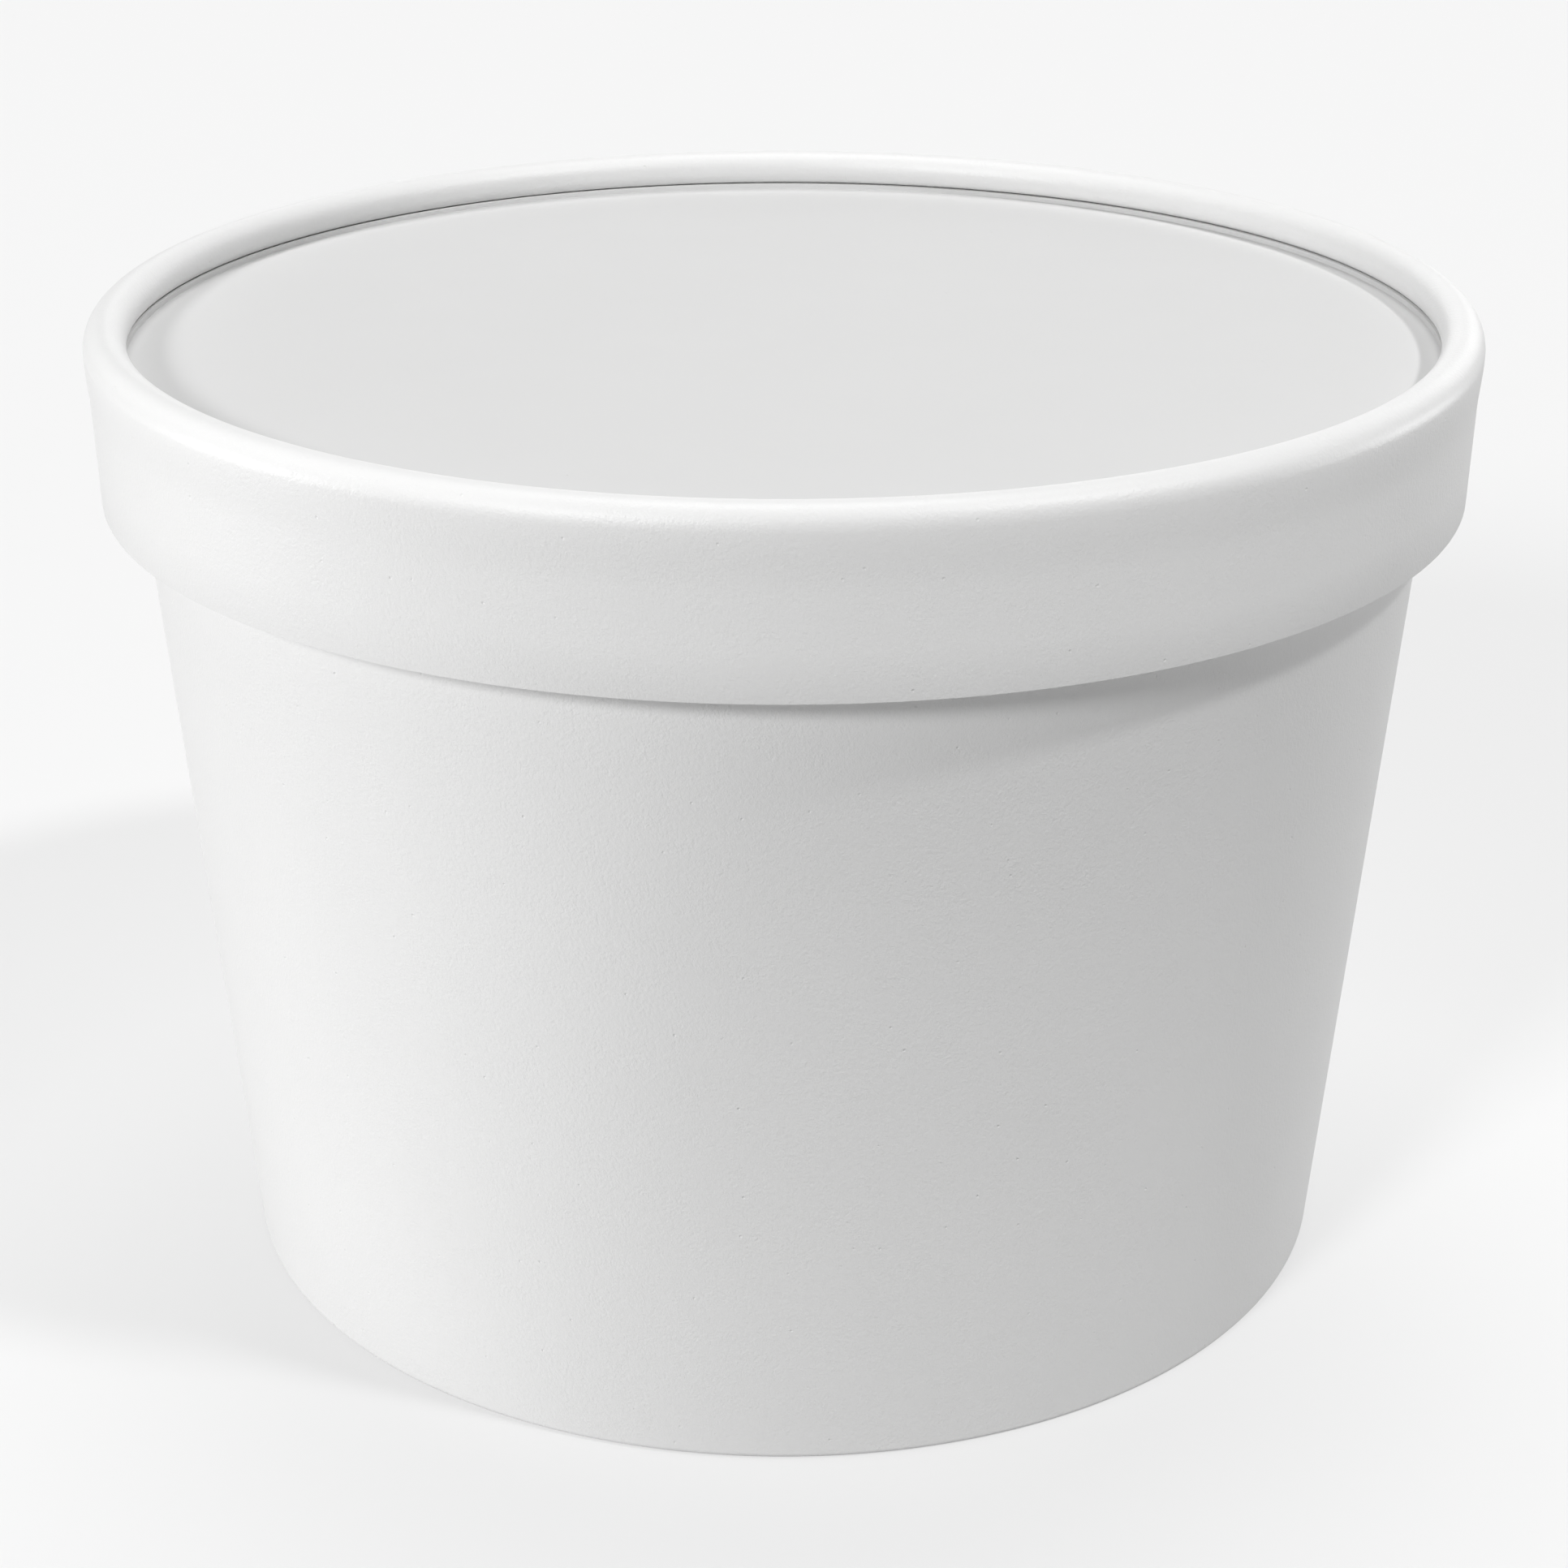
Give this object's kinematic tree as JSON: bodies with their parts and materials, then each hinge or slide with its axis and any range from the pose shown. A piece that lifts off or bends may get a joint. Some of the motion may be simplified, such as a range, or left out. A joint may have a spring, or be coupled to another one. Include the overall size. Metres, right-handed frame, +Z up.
{
  "type": "ice cream tub",
  "caption": "Round tapered paperboard ice cream tub, shut with a push-on lid that has a rolled bead, a skirt and a sunk flat panel; blank white.",
  "frame": {"origin": "centre of the foot's ring, at the height of the surface that the tub stands on", "axes": "+Z up along the tub's axis, +Y away from the viewer in the picture (the seams are on that side), +X to the viewer's right"},
  "size_m": [0.098, 0.098, 0.0703],
  "materials": {
    "wall_board": "matte",
    "base_board": "matte",
    "collar_board": "matte",
    "panel_board": "matte"
  },
  "bodies": {
    "root": {"cup_body": "wall_board", "cup_base": "base_board", "lid_collar": "collar_board", "lid_panel": "panel_board"}
  },
  "joints": []
}
